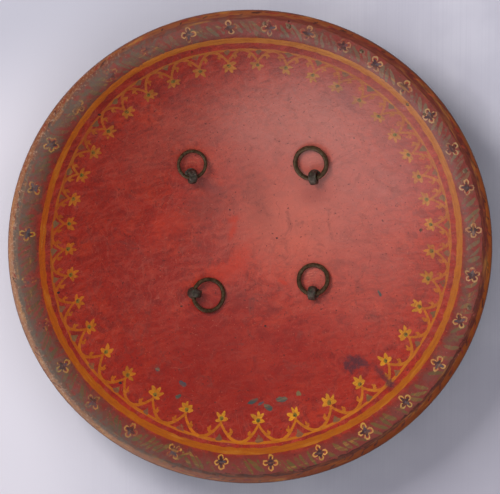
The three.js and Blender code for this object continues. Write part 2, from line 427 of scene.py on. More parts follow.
def blossom(angle):
    base = polar(BLOSSOM_BASE, angle)
    centre = local(base, angle, 0, 4.4)
    gold = tint(around(BLOSSOM_GOLD, angle), 0.08)
    wear = around(SCROLL_WEAR, angle)
    lean = rng.uniform(-0.3, 0.3)
    petals = rng.choice((5, 5, 5, 4))
    stem = [local(base, angle, 0, -0.8), centre]
    stroke(stem, (2.2, 2.6, 3.4), tint(around(ARCH_GOLD, angle), 0.08), wear, steps=3)
    for i in range(petals):
        way = lean + (i - (petals - 1) / 2) * (1.95 / (petals - 1)) * 1.6 + rng.uniform(-0.12, 0.12)
        length = (8.9 if abs(way - lean) < 0.9 else 7.2) + rng.uniform(-1.4, 0.9)
        sx, sy = math.sin(way), math.cos(way)
        bend = rng.uniform(-0.8, 0.8)
        line = [
            reached(centre, angle, way, 0.4),
            local(centre, angle, sx * length * 0.5 + sy * bend, sy * length * 0.5 - sx * bend),
            reached(centre, angle, way, length),
        ]
        widths = (2.0, rng.uniform(3.1, 4.4), 0.7)
        stroke(line, widths, tint(gold, 0.14), wear * rng.uniform(0.88, 1.04), steps=4, jitter=0.25)
    heart = [local(centre, angle, -2.6, 0.8), local(centre, angle, 2.4, 1.2)]
    stroke(heart, (1.6, 3.0, 1.6), tint(gold, 0.1), wear, steps=3)
    blob(local(centre, angle, 0, 0.7), angle, 2.1, 2.1, tint(MOSS, 0.2), 0.92, 9, 0.4)
    blob(local(centre, angle, rng.uniform(-0.9, 0.9), 0.3), angle, 0.9, 0.8, tint(INK, 0.2), 0.75, 6, 0.2)


for angle_k in blossom_angles:
    olive_spot(angle_k)
for angle_k in blossom_angles:
    blossom(angle_k)


# Four-petalled flowers in the outer band

def flower(angle, index):
    radius = BAND_RADIUS + 0.4 + 2.4 * math.cos(angle) + rng.uniform(-0.8, 0.8)
    centre = polar(radius, angle)
    petals = 5 if index in (2, 9, 25) else 4
    turn = rng.uniform(-0.3, 0.3) + (0.6 if index % 7 == 3 else 0)
    wear = around(FLOWER_WEAR, angle) * rng.uniform(0.9, 1.05)
    # On the left the flowers are painted much fainter
    if 4.25 < angle < 4.65:
        wear *= 0.62
    cream = around(FLOWER_CREAM, angle)
    order = list(range(petals))
    rng.shuffle(order)
    for i in order:
        way = turn + TURN * i / petals + rng.uniform(-0.1, 0.1)
        reach = 5.0 + rng.uniform(-0.6, 0.5)
        spot = reached(centre, angle, way, reach)
        half_side = 2.9 + rng.uniform(-0.4, 0.4)
        half_in = 3.0 + rng.uniform(-0.4, 0.4)
        blob(spot, angle, half_side, half_in, tint(cream, 0.2), wear * rng.uniform(0.72, 1.05), 14, 0.4, -way)
        inner_spot = reached(centre, angle, way, reach - 0.5)
        fill = tint(PETAL_RED if rng.random() < 0.6 else DARK_RED, 0.2)
        blob(inner_spot, angle, half_side - 1.3, half_in - 1.05, fill, wear * 0.9, 10, 0.25, -way)
    blob(centre, angle, 3.2, 3.0, tint(INK, 0.25), wear, 10, 0.6)
    for i in range(petals):
        way = turn + TURN * i / petals + rng.uniform(-0.15, 0.15)
        reach = 5.6 + rng.uniform(-0.9, 0.7)
        line = [reached(centre, angle, way, 1), reached(centre, angle, way, reach)]
        dark = tint(INK if rng.random() < 0.7 else SLATE, 0.25)
        stroke(line, (3.1, 2.7, 0.9), dark, wear, steps=3, jitter=0.2)
    blob(local(centre, angle, 0.3, -0.2), angle, 1.1, 1.0, tint(SLATE, 0.2), wear, 6, 0.3)


for k, angle_k in enumerate(flower_angles):
    flower(angle_k, k)


# Dark dashes and red patches on the gold lip

for k in range(LIP_DASHES):
    angle_k = TURN * k / LIP_DASHES + rng.uniform(-0.016, 0.016)
    strength = 0.5 + 0.5 * math.cos(angle_k - math.radians(60))
    if rng.random() > 0.25 + 0.7 * strength:
        continue
    start_r = float(lip_line(angle_k)) + rng.uniform(0.5, 4.5)
    end_r = min(start_r + rng.uniform(1.5, 4.0), TOP_RADIUS - 0.3)
    half = rng.uniform(0.004, 0.022)
    middle_r = (start_r + end_r) / 2
    dash = [polar(start_r, angle_k - half), polar(middle_r, angle_k), polar(end_r, angle_k + half)]
    colour_k = tint(LIP_DARK if rng.random() < 0.5 else LIP_RED, 0.2)
    stroke(dash, (0.6, rng.uniform(1.0, 2.2), 0.8), colour_k, rng.uniform(0.6, 0.9), steps=3, jitter=0.25)

# Dark hatching just inside the lip, along the lower right and the lower edge
for k in range(HATCHES):
    angle_k = math.radians(98 + 92 * k / HATCHES) + rng.uniform(-0.01, 0.01)
    if rng.random() < 0.25:
        continue
    hatch_r = float(lip_line(angle_k)) + rng.uniform(-2.2, 0.8)
    half = rng.uniform(0.006, 0.02)
    hatch = [polar(hatch_r - 0.9 * way, angle_k + half * way) for way in (-1, 0, 1)]
    widths = (0.6, rng.uniform(1.0, 2.2), 0.6)
    stroke(hatch, widths, tint(LIP_DARK, 0.25), rng.uniform(0.5, 0.85), steps=3, jitter=0.3)

# Flaked spots where the lacquer has gone, and small dark specks: place, half sizes, turn and colour
CHIPS = [
    (3.0, -164.2, 5.8, 2.0, -0.35, TEAL), (18.5, -169.3, 4.8, 2.6, 0.5, TEAL),
    (32.3, -162.0, 6.0, 2.4, -0.1, TEAL), (11.0, -166.0, 3.4, 1.2, -0.5, SLATE),
    (49.0, -156.3, 2.6, 2.2, 0.3, OLIVE), (-67.8, -145.9, 4.0, 2.0, 0.6, SLATE),
    (-71.9, -157.6, 3.2, 1.7, -0.3, TEAL), (-92.9, -131.3, 2.6, 1.6, 0.4, SLATE),
    (130.5, -55.8, 3.2, 1.4, 1.0, TEAL), (170.5, 12.5, 1.7, 1.5, 0.0, INK),
    (-148.8, 133.9, 1.7, 1.2, 0.3, INK), (-191.0, -46.5, 1.5, 1.3, 0.3, INK),
    (-130.0, -140.3, 1.6, 1.3, 0.3, INK), (-57.3, 197.0, 1.3, 2.2, 0.4, DARK_RED),
    (-68.9, -72.3, 1.3, 0.9, 0.1, INK), (-19.6, 24.0, 1.2, 0.7, 0.5, INK),
    (104.0, 103.5, 0.9, 0.8, 0.1, INK), (27.7, -5.2, 1.1, 0.8, 0.2, INK),
    (16.2, -93.5, 1.3, 1.0, 0.4, INK),
]
for chip_x, chip_y, half_a, half_b, turn_c, colour_c in CHIPS:
    uneven = 0.55 * min(half_a, half_b) / 2
    blob((chip_x, chip_y), 0.0, half_a, half_b, tint(colour_c, 0.15), 1.0, 13, uneven, turn_c)

# Arcs that the swinging rings have scratched: eye, way the ring lies, and reaches from the eye
SCRATCHES = [
    (65.0, -59.6, 0.0, (10.0, 12.6, 15.4, 18.2, 20.6)),
    (65.8, 62.2, -0.1, (14.5, 19.5, 33.5, 37.0)),
    (-59.0, 63.4, 0.1, (13.0, 17.5)),
]
for eye_x, eye_y, way_k, reaches in SCRATCHES:
    for reach_k in reaches:
        spread = rng.uniform(0.4, 0.65) * 14 / reach_k
        ways = [way_k + spread * k for k in (-1, 0, 1)]
        arc = [(eye_x + reach_k * math.sin(w), eye_y + reach_k * math.cos(w)) for w in ways]
        stroke(arc, (0.5, 1.1, 0.5), linear(200, 108, 92), 0.5, steps=5, jitter=0.12)


# The dish: its inside face is one flat net of points and painted outlines, lifted onto the hollow

EDGE_STEPS = 420
ZONE_STEPS = 540
TREMBLES = (17, 31, 43, 61, 89, 113)
EDGE_ROWS = 8

# Middles and scale of the two discs of the flat layout
FACE_UV = 0.415
FRONT_UV = 0.815
FACE_SCALE = 0.40 / 263.0


def zone_lines():
    """Closed lines that part the painted zones, as radius functions with a little tremble."""
    tremble = random.Random(3)
    lines = []
    for base, shift, size in ((thick_line, -2.9, 0.22), (thick_line, 2.9, 0.22), (thin_line, -1.15, 0.18),
                              (thin_line, 1.15, 0.18), (lip_line, -2.3, 0.35), (lip_gold_line, 0.0, 0.35)):
        terms = [(tremble.uniform(-size, size), tremble.uniform(0, TURN), n) for n in TREMBLES]
        lines.append((base, shift, terms))
    return lines


ZONES = zone_lines()


def zone_radius(zone, angle):
    base, shift, terms = zone
    total = base(angle) + shift
    for size, phase, n in terms:
        total = total + size * np.sin(n * angle + phase)
    return total


def build_face_net():
    points, edges, faces = [], [], []

    def add_loop(loop):
        first = len(points)
        points.extend(loop)
        edges.extend((first + i, first + (i + 1) % len(loop)) for i in range(len(loop)))

    add_loop([polar(TOP_RADIUS, TURN * i / EDGE_STEPS) for i in range(EDGE_STEPS)])
    angles = [TURN * i / ZONE_STEPS for i in range(ZONE_STEPS)]
    for zone in ZONES:
        add_loop([polar(float(zone_radius(zone, angle)), angle) for angle in angles])
    radius = 236.4
    while radius > 3:
        step = 2.6 if radius > 208 else 4.4
        count = max(6, round(TURN * radius / (step * 1.15)))
        twist = rng.uniform(0, 1)
        for i in range(count):
            points.append(polar(radius, TURN * (i + twist) / count))
        radius -= step
    points.append((0.0, 0.0))
    for outline, colour in shapes:
        first = len(points)
        points.extend(outline)
        faces.append(list(range(first, len(points))))
    out = delaunay_2d_cdt([Vector(p) for p in points], edges, faces, 0, 1e-4, True)
    flat = np.array([(p.x, p.y) for p in out[0]])
    triangles = np.array(out[2], dtype=np.int64)
    middle = flat[triangles].mean(1)
    low = np.array([np.min(outline, axis=0) for outline, colour in shapes])
    high = np.array([np.max(outline, axis=0) for outline, colour in shapes])
    owner = np.full(len(triangles), -1)
    for i, owners in enumerate(out[5]):
        held = [k for k in owners if (middle[i] >= low[k]).all() and (middle[i] <= high[k]).all()]
        if held:
            owner[i] = max(held)
    rim = {}
    for new, olds in enumerate(out[3]):
        for old in olds:
            if old < EDGE_STEPS:
                rim[old] = new
    return flat, triangles, owner, [rim[i] for i in range(EDGE_STEPS)]


def profile_below():
    """Radius, height and slope angle of each row, over the edge of the lip and under the dish."""
    rows = []
    for i in range(1, EDGE_ROWS + 1):
        angle = EDGE_ANGLE + math.pi * i / EDGE_ROWS
        rows.append((EDGE_X + EDGE_RADIUS * math.sin(angle), EDGE_Z + EDGE_RADIUS * math.cos(angle), angle))
    under = ROLL_RADIUS - HIDE
    for i in range(1, 13):
        angle = EDGE_ANGLE + (-TURN_ANGLE - EDGE_ANGLE) * i / 12
        place = (CREST_RADIUS + under * math.sin(angle), ROLL_Z + under * math.cos(angle))
        rows.append((*place, angle + math.pi))
    for i in range(1, 49):
        angle = math.pi - TURN_ANGLE + TURN_ANGLE * i / 48
        rows.append((FRONT_RADIUS * math.sin(angle), SPHERE_Z + FRONT_RADIUS * math.cos(angle), angle))
    return rows


def arc_length_inside(r):
    """How far a point of the inside face is from the middle, along the face."""
    sphere = HOLLOW_RADIUS * np.arcsin(np.minimum(r, TANGENT_RADIUS) / HOLLOW_RADIUS)
    lean = np.arcsin(np.clip((r - CREST_RADIUS) / ROLL_RADIUS, -1, 1)) + TURN_ANGLE
    return sphere + np.where(r > TANGENT_RADIUS, ROLL_RADIUS * lean, 0)


def paint_of(flat, triangles, owner):
    """Colour of each triangle, from the shape that owns it or else from its zone."""
    centre = flat[triangles].mean(1)
    angle = np.arctan2(centre[:, 0], centre[:, 1])
    radius = np.hypot(centre[:, 0], centre[:, 1])
    limits = [zone_radius(zone, angle) for zone in ZONES]
    thick = (radius > limits[0]) & (radius < limits[1])
    thin = (radius > limits[2]) & (radius < limits[3])
    paint = np.zeros((len(triangles), 4))
    angles = angle % TURN
    # The lip colours carry a painted highlight on the left and painted shade on the right and bottom
    for chosen, colours, cover in (
            (radius > limits[4], LIP_INSIDE_AND_LIGHT, 0.9), (radius > limits[5], LIP_GOLD_AND_LIGHT, 1.0),
            (thick, THICK_GOLD, 1.0), (thin, ARCH_GOLD, 0.85)):
        for i in np.flatnonzero(chosen):
            paint[i] = (*around(colours, float(angles[i])), cover)
    owned = owner >= 0
    shape_paint = np.array([colour for outline, colour in shapes])
    paint[owned] = shape_paint[owner[owned]]
    return paint


def build_dish():
    flat, triangles, owner, rim = build_face_net()
    x, y = flat[:, 0], flat[:, 1]
    z = inside_height(x, y)
    step = 0.05
    slope_x = (inside_height(x + step, y) - inside_height(x - step, y)) / (2 * step)
    slope_y = (inside_height(x, y + step) - inside_height(x, y - step)) / (2 * step)
    reach = np.maximum(np.hypot(x, y), 1e-9)
    tilt = math.tan(EDGE_ANGLE)
    slope_x[rim] = -tilt * x[rim] / reach[rim]
    slope_y[rim] = -tilt * y[rim] / reach[rim]
    normal = np.stack([-slope_x, -slope_y, np.ones_like(x)], 1)
    normal /= np.linalg.norm(normal, axis=1, keepdims=True)
    along = arc_length_inside(reach)

    verts = [(px * MM, py * MM, pz * MM) for px, py, pz in zip(x, y, z)]
    normals = [tuple(n) for n in normal]
    uvs = []
    for px, py, r, s in zip(x, y, reach, along):
        uvs.append((FACE_UV + FACE_SCALE * s * px / r, FACE_UV + FACE_SCALE * s * py / r))
    faces = [tuple(int(i) for i in t) for t in triangles]
    face_paint = [tuple(p) for p in paint_of(flat, triangles, owner)]
    loop_uv = [[uvs[i] for i in f] for f in faces]
    kinds = [0] * len(faces)

    # Rows over the edge and under the dish, with how far each is from the middle of the face
    rows = profile_below()
    previous = (TOP_RADIUS, float(z[rim[0]]))
    lengths = [float(arc_length_inside(np.array([TOP_RADIUS]))[0])]
    for r, h, slope in rows:
        lengths.append(lengths[-1] + math.hypot(r - previous[0], h - previous[1]))
        previous = (r, h)
    total = lengths[-1]
    front_scale = 0.17 / (total - lengths[EDGE_ROWS])
    ring = list(rim)
    for row_index, (r, h, slope) in enumerate(rows):
        last_row = row_index == len(rows) - 1
        front_side = row_index >= EDGE_ROWS
        spans = lengths[row_index:row_index + 2]
        if front_side:
            uv_middle, reaches = FRONT_UV, [(total - span) * front_scale for span in spans]
        else:
            uv_middle, reaches = FACE_UV, [span * FACE_SCALE for span in spans]
        new_ring = [len(verts)] * EDGE_STEPS
        if last_row:
            verts.append((0.0, 0.0, h * MM))
            normals.append((0.0, 0.0, -1.0))
        else:
            new_ring = list(range(len(verts), len(verts) + EDGE_STEPS))
            level, rise = math.sin(slope), math.cos(slope)
            for i in range(EDGE_STEPS):
                a = TURN * i / EDGE_STEPS
                px, py = polar(r, a)
                verts.append((px * MM, py * MM, h * MM))
                normals.append((level * math.sin(a), level * math.cos(a), rise))
        corners = 3 if last_row else 4
        for i in range(EDGE_STEPS):
            j = (i + 1) % EDGE_STEPS
            a0, a1 = TURN * i / EDGE_STEPS, TURN * (i + 1) / EDGE_STEPS
            faces.append((ring[i], ring[j], new_ring[j], new_ring[i])[:corners])
            places = ((reaches[0], a0), (reaches[0], a1), (reaches[1], a1), (reaches[1], a0))[:corners]
            loop_uv.append([(uv_middle + s * math.sin(a), uv_middle + s * math.cos(a)) for s, a in places])
            shade = LIP_DARK
            # The first rows over the edge take the lip gold and edge line, with their painted highlight and
            # shade
            if row_index < 4:
                shade = around(EDGE_LINE_AND_LIGHT if row_index else LIP_GOLD_AND_LIGHT, a0)
            face_paint.append((*shade, 0.0 if front_side else 0.95))
            kinds.append(1 if front_side else 0)
        ring = new_ring

    mesh = bpy.data.meshes.new("painted_dish")
    mesh.from_pydata(verts, [], faces)
    mesh.update()
    layer = mesh.uv_layers.new(name="OFBake")
    flat_uv = [c for corners in loop_uv for uv in corners for c in uv]
    layer.data.foreach_set("uv", np.array(flat_uv, np.float32))
    attribute = mesh.color_attributes.new("paint", "FLOAT_COLOR", "CORNER")
    per_loop = []
    for f, p in zip(faces, face_paint):
        per_loop.extend(p * len(f))
    attribute.data.foreach_set("color", np.array(per_loop, np.float32))
    mesh.polygons.foreach_set("use_smooth", [True] * len(faces))
    mesh.materials.append(material_lacquer())
    mesh.materials.append(material_front())
    mesh.polygons.foreach_set("material_index", kinds)
    mesh.normals_split_custom_set_from_vertices(normals)
    dish = bpy.data.objects.new("painted_dish", mesh)
    scene.collection.objects.link(dish)
    return dish


# Materials

class Shade:
    """Builds a node tree; a plain number or colour is set on the socket, and a socket is linked."""

    def __init__(self, name):
        self.material = bpy.data.materials.new(name)
        self.material.use_nodes = True
        self.tree = self.material.node_tree
        self.tree.nodes.clear()
        self.out = self.tree.nodes.new("ShaderNodeOutputMaterial")
        local_place = self.tree.nodes.new("ShaderNodeTexCoord").outputs["Object"]
        self.place = self.node("ShaderNodeVectorMath", 0, 0, local_place, scale=1000.0, operation="SCALE")

    def node(self, kind, output, *inputs, scale=None, **settings):
        made = self.tree.nodes.new(kind)
        for key, value in settings.items():
            setattr(made, key, value)
        for index, value in zip(inputs[::2], inputs[1::2]):
            self.put(made.inputs[index], value)
        if scale is not None:
            made.inputs["Scale"].default_value = scale
        return made.outputs[output]

    def put(self, socket, value):
        if isinstance(value, bpy.types.NodeSocket):
            self.tree.links.new(value, socket)
        elif hasattr(value, "__len__") and len(value) == 3 and len(socket.default_value) == 4:
            socket.default_value = (*value, 1.0)
        else:
            socket.default_value = value

    def math(self, operation, a, b=0.0, clamp=False):
        return self.node("ShaderNodeMath", 0, 0, a, 1, b, operation=operation, use_clamp=clamp)

    def vector(self, operation, a, b=(0.0, 0.0, 0.0)):
        return self.node("ShaderNodeVectorMath", 0, 0, a, 1, b, operation=operation)

    def length(self, a):
        return self.node("ShaderNodeVectorMath", 1, 0, a, operation="LENGTH")

    def part(self, a, index):
        return self.node("ShaderNodeSeparateXYZ", index, 0, a)

    def scaled(self, value, factor, offset):
        return self.node("ShaderNodeMath", 0, 0, value, 1, factor, 2, offset, operation="MULTIPLY_ADD")

    def times(self, first, *others):
        for other in others:
            first = self.math("MULTIPLY", first, other)
        return first

    def total(self, first, *others):
        """Sum of values, each with its weight."""
        out = self.times(*first)
        for other in others:
            out = self.math("ADD", out, self.times(*other))
        return out

    def noise(self, size, detail=4.0, rough=0.55, distortion=0.0, at=None):
        """Noise with features of about the given size in millimetres."""
        return self.node("ShaderNodeTexNoise", 0, "Vector", at or self.place, "Detail", detail,
                         "Roughness", rough, "Distortion", distortion, scale=1.0 / size)

    def mapped(self, at, middle, turn, scale):
        """Coordinates about a middle, turned round the upright axis and divided by a scale."""
        return self.node("ShaderNodeMapping", 0, "Vector", at, "Location", middle, "Rotation", (0.0, 0.0, turn),
                         "Scale", scale, vector_type="TEXTURE")

    def stretched(self, across, along, turn, detail=3.0, seed=0.0, bend=44.0):
        """Noise drawn out along one direction, as brush marks are."""
        warp = self.node("ShaderNodeTexNoise", 1, "Vector", self.place, "Detail", 2.0, scale=1 / 38)
        bent = self.node("ShaderNodeVectorMath", 0, 0, warp, 1, (bend, bend, 0.0), 2, self.place,
                         operation="MULTIPLY_ADD")
        mapped = self.mapped(bent, (seed, seed * 1.7, 0.0), turn, (along, across, 60.0))
        return self.noise(1.0, detail, 0.6, 0.0, mapped)

    def ramp(self, value, low, high, to_low=0.0, to_high=1.0, smooth_steps=True):
        kind = "SMOOTHSTEP" if smooth_steps else "LINEAR"
        return self.node("ShaderNodeMapRange", 0, 0, value, 1, low, 2, high, 3, to_low, 4, to_high,
                         interpolation_type=kind)

    def mix(self, factor, a, b):
        return self.node("ShaderNodeMix", 2, 0, factor, 6, a, 7, b, data_type="RGBA", clamp_factor=True)

    def layers(self, base, *rows):
        """Lays colours over a base, each where its value goes from low to high, up to a share."""
        for value, low, high, share, shade in rows:
            base = self.mix(self.ramp(value, low, high, 0.0, share), base, linear(*shade))
        return base

    def wash(self, base, mask, share, shade):
        """Lays a share of a colour over a base, inside a mask."""
        return self.mix(self.times(mask, share), base, linear(*shade))

    def spot(self, x, y, half_x, half_y, turn, soft, ragged, noise_value):
        """1 inside an uneven patch, 0 outside it."""
        moved = self.mapped(self.place, (x, y, 0.0), turn, (half_x, half_y, 1e6))
        size = self.math("ADD", self.length(moved), self.scaled(noise_value, ragged, -ragged / 2))
        return self.ramp(size, 1.0 + soft, 1.0 - soft)

    def bump(self, height):
        return self.node("ShaderNodeBump", 0, "Distance", MM, "Height", height)

    def surface(self, **inputs):
        shader = self.tree.nodes.new("ShaderNodeBsdfPrincipled")
        for key, value in inputs.items():
            self.put(shader.inputs[key.replace("_", " ")], value)
        self.tree.links.new(shader.outputs[0], self.out.inputs[0])
        return self.material


def material_lacquer():
    s = Shade("red_lacquer")
    big = s.noise(95, 3.0, 0.5)
    broad = s.noise(34, 4.0, 0.6, 0.8)
    patches = s.noise(14, 5.0, 0.65, 0.9)
    middle = s.noise(7, 5.0, 0.65)
    fine = s.noise(2.2, 4.0, 0.65)
    grain = s.noise(0.8, 2.0, 0.6)
    brush_a = s.stretched(1.6, 30, 0.5, 4.0, 3.0)
    brush_b = s.stretched(2.2, 42, -0.75, 4.0, 11.0)
    brush_c = s.stretched(1.2, 26, 1.35, 3.0, 23.0)
    scratch = s.stretched(0.5, 60, 0.95, 2.0, 37.0)
    scratch_b = s.stretched(0.5, 34, -0.3, 2.0, 71.0)
    wrinkle = s.stretched(5.0, 17, 0.25, 2.5, 53.0, 20.0)

    # Red ground: deep and bright patches, brush marks, a fine mottle and wrinkles
    ground = s.mix(s.ramp(big, 0.36, 0.64), linear(140, 31, 21), linear(158, 38, 25))
    ground = s.layers(
        ground,
        (broad, 0.42, 0.72, 0.75, (176, 52, 28)), (patches, 0.5, 0.62, 0.7, (116, 34, 30)),
        (middle, 0.5, 0.68, 0.55, (122, 44, 36)), (brush_a, 0.46, 0.68, 0.32, (122, 30, 24)),
        (brush_b, 0.5, 0.68, 0.26, (192, 66, 40)), (brush_c, 0.52, 0.68, 0.34, (176, 84, 66)),
        (fine, 0.52, 0.68, 0.5, (102, 34, 30)), (grain, 0.56, 0.72, 0.42, (196, 88, 68)),
        (wrinkle, 0.5, 0.66, 0.24, (184, 78, 62)), (wrinkle, 0.48, 0.34, 0.4, (112, 26, 20)),
    )

    # A pale, milky sheen painted into the lacquer towards the top, the right, the middle and the upper left, a
    # painted reflection of the light; a deeper red along the bottom and the left; and a few small darker
    # patches
    patch_edge_noise = s.mix(0.5, broad, patches)
    for *patch, share, shade in (
            (64, 60, 96, 74, 0.6, 0.75, 0.5, (186, 104, 92)),
            (34, 128, 96, 44, 0.1, 0.8, 0.42, (182, 112, 100)),
            (120, -10, 60, 74, 0.0, 0.85, 0.36, (182, 102, 90)),
            (40, 10, 44, 44, 0.3, 0.8, 0.36, (206, 104, 82)),
            (-14, -130, 124, 50, 0.0, 0.7, 0.62, (134, 20, 9)),
            (-120, -20, 58, 84, 0.2, 0.8, 0.25, (144, 34, 26)),
            (-48, 26, 30, 12, 0.4, 0.9, 0.4, (112, 56, 50)),
            (8, 40, 12, 34, 0.3, 0.9, 0.35, (118, 60, 52)),
            (-2, -66, 30, 10, -0.3, 0.9, 0.3, (116, 52, 46)),
            (-96, 92, 40, 26, 0.7, 0.9, 0.3, (160, 76, 64)),
            (66, 42, 13, 10, 0.2, 0.9, 0.5, (136, 54, 46)),
            (-42, 50, 13, 6, -0.5, 0.9, 0.45, (112, 62, 60))):
        ground = s.wash(ground, s.spot(*patch, 0.9, patch_edge_noise), share, shade)

    # Polar directions, for the band and for brush marks that follow the rim
    flat = s.vector("MULTIPLY", s.place, (1.0, 1.0, 0.0))
    radius = s.length(flat)
    way = s.vector("NORMALIZE", flat)
    across = s.part(way, 0)
    lifted = s.node("ShaderNodeCombineXYZ", 0, 2, radius)
    turned = s.vector("ADD", s.vector("MULTIPLY", way, (24.0, 24.0, 0.0)), lifted)
    follow = s.noise(1.3, 3.0, 0.6, 0.0, turned)
    follow_wide = s.noise(4.0, 3.0, 0.6, 0.0, turned)

    # The outer band is a duller, browner red than the hollow, with grey-olive patches, a grey painted sheen on
    # its left where light glances off, and a darker red towards the bottom
    band = s.ramp(s.math("ADD", radius, s.scaled(middle, 6.0, -3.0)), 208.0, 215.0)
    dull = s.mix(s.ramp(broad, 0.4, 0.65), linear(118, 42, 34), linear(130, 54, 44))
    dull = s.layers(dull, (patches, 0.44, 0.66, 0.7, (92, 66, 52)), (fine, 0.45, 0.7, 0.5, (96, 48, 46)))
    left = s.ramp(across, 0.25, -0.75)
    # Painted sheen: grey laid over the left of the band
    dull = s.mix(s.times(left, s.ramp(patches, 0.42, 0.58, 0.05, 0.72)), dull, linear(90, 72, 58))
    dull = s.wash(dull, s.ramp(s.part(way, 1), -0.3, -0.95), 0.5, (108, 34, 26))
    ground = s.mix(s.times(band, 0.9), ground, dull)

    # Grime on the face: dusky patches, specks and fine scratches
    grime = s.times(s.ramp(s.noise(24, 5.0, 0.72, 1.4), 0.54, 0.74), 0.5)
    ground = s.mix(grime, ground, linear(104, 54, 48))
    ground = s.wash(ground, s.ramp(s.noise(2.4, 2.0, 0.5), 0.67, 0.72), 0.75, (72, 32, 30))
    elsewhere = s.vector("ADD", s.place, (300.0, 0.0, 0.0))
    pale_specks = s.ramp(s.noise(1.7, 2.0, 0.5, 0.0, elsewhere), 0.69, 0.73)
    ground = s.wash(ground, pale_specks, 0.5, (196, 108, 84))
    ground = s.layers(
        ground,
        (scratch_b, 0.68, 0.74, 0.4, (190, 96, 76)), (scratch, 0.68, 0.74, 0.5, (92, 34, 32)),
    )

    # The painted ornament, brushed along the rim and worn through in places
    paint = s.tree.nodes.new("ShaderNodeAttribute")
    paint.attribute_name = "paint"
    kept = paint.outputs["Alpha"]
    painted = s.layers(
        paint.outputs["Color"],
        (follow, 0.42, 0.68, 0.42, (134, 62, 20)), (follow_wide, 0.52, 0.74, 0.35, (206, 140, 48)),
        (fine, 0.5, 0.75, 0.3, (120, 54, 34)),
    )
    worn = s.mix(0.4, s.noise(3.0, 4.0, 0.65), s.noise(9.0, 3.0, 0.6))
    left_over = s.math("SUBTRACT", s.scaled(kept, 0.85, 0.15), worn)
    cover = s.times(s.ramp(left_over, 0.0, 0.2), s.scaled(kept, 0.45, 0.5))
    colour = s.mix(cover, ground, painted)

    # Broken, speckled gold along the lip, with a pale painted highlight on the left where light glances off the
    # rolled lip, and a grey painted sheen just inside it there
    lip = s.ramp(radius, 229.5, 233.0)
    speckle = s.ramp(s.noise(1.5, 4.0, 0.7, 0.0, turned), 0.52, 0.66, 0.0, 0.6)
    colour = s.mix(s.times(lip, speckle), colour, linear(92, 36, 22))
    lip_glare = s.times(lip, s.ramp(across, -0.3, -0.9), s.ramp(s.noise(2.2, 4.0, 0.7), 0.5, 0.66, 0.0, 0.55))
    colour = s.mix(lip_glare, colour, linear(186, 150, 122))
    grey_sheen = s.times(s.ramp(radius, 218.0, 229.0), s.ramp(radius, 237.0, 232.5), left,
                   s.ramp(s.noise(5.0, 4.0, 0.65), 0.4, 0.6, 0.05, 0.7))
    colour = s.mix(grey_sheen, colour, linear(84, 76, 66))

    # Dark stains and a scuff
    ragged = s.mix(0.5, s.noise(5.0, 4.0, 0.7), s.noise(2.2, 3.0, 0.6))
    torn = s.ramp(s.noise(2.6, 4.0, 0.7), 0.3, 0.52, 0.35, 1.0)
    for *patch, share, shade in (
            (103.5, -125.5, 9.5, 6.8, 0.6, 0.35, 3.4, 0.85, (70, 36, 44)),
            (112.5, -123.0, 6.0, 4.2, -0.5, 0.4, 3.2, 0.75, (76, 40, 46)),
            (116.5, -131.5, 8.5, 2.6, 0.9, 0.5, 3.0, 0.35, (74, 36, 42)),
            (140.5, -141.2, 5.0, 3.4, 0.3, 0.5, 3.0, 0.8, (74, 42, 48)),
            (133.0, -133.5, 11.0, 3.0, -0.8, 0.6, 3.2, 0.75, (78, 40, 44)),
            (96.0, 146.0, 18.0, 8.0, -0.9, 0.9, 3.4, 0.45, (112, 62, 64))):
        colour = s.wash(colour, s.times(s.spot(*patch, ragged), torn), share, shade)

    # Bright orange rubs where newer red shows, near the middle
    for *patch, share in (
            (-17, 2, 8, 3, 1.2, 0.6), (-16, 14, 5, 3.5, 0.4, 0.55), (-28, -40, 26, 9, 0.3, 0.4),
            (-8, -22, 14, 8, 0.8, 0.35), (34, -50, 5, 2, -0.5, 0.6), (-82, 10, 22, 14, 0.4, 0.35)):
        colour = s.wash(colour, s.spot(*patch, 0.8, 2.6, ragged), share, (184, 44, 16))

    rough = s.ramp(middle, 0.3, 0.7, 0.36, 0.52, False)
    rough = s.math("ADD", rough, s.ramp(brush_b, 0.4, 0.7, -0.04, 0.08, False))
    rough = s.math("ADD", rough, s.times(grime, 0.14))
    height = s.total(
        (broad, 0.5), (patches, 0.2), (middle, 0.14), (wrinkle, 0.42), (s.mix(0.5, brush_a, brush_b), 0.2),
        (fine, 0.085), (grain, 0.022), (s.ramp(scratch, 0.66, 0.74), -0.05), (cover, 0.11),
    )
    return s.surface(Base_Color=colour, Roughness=rough, Normal=s.bump(height), Specular_IOR_Level=0.5,
                     Coat_Weight=0.25, Coat_Roughness=0.3)


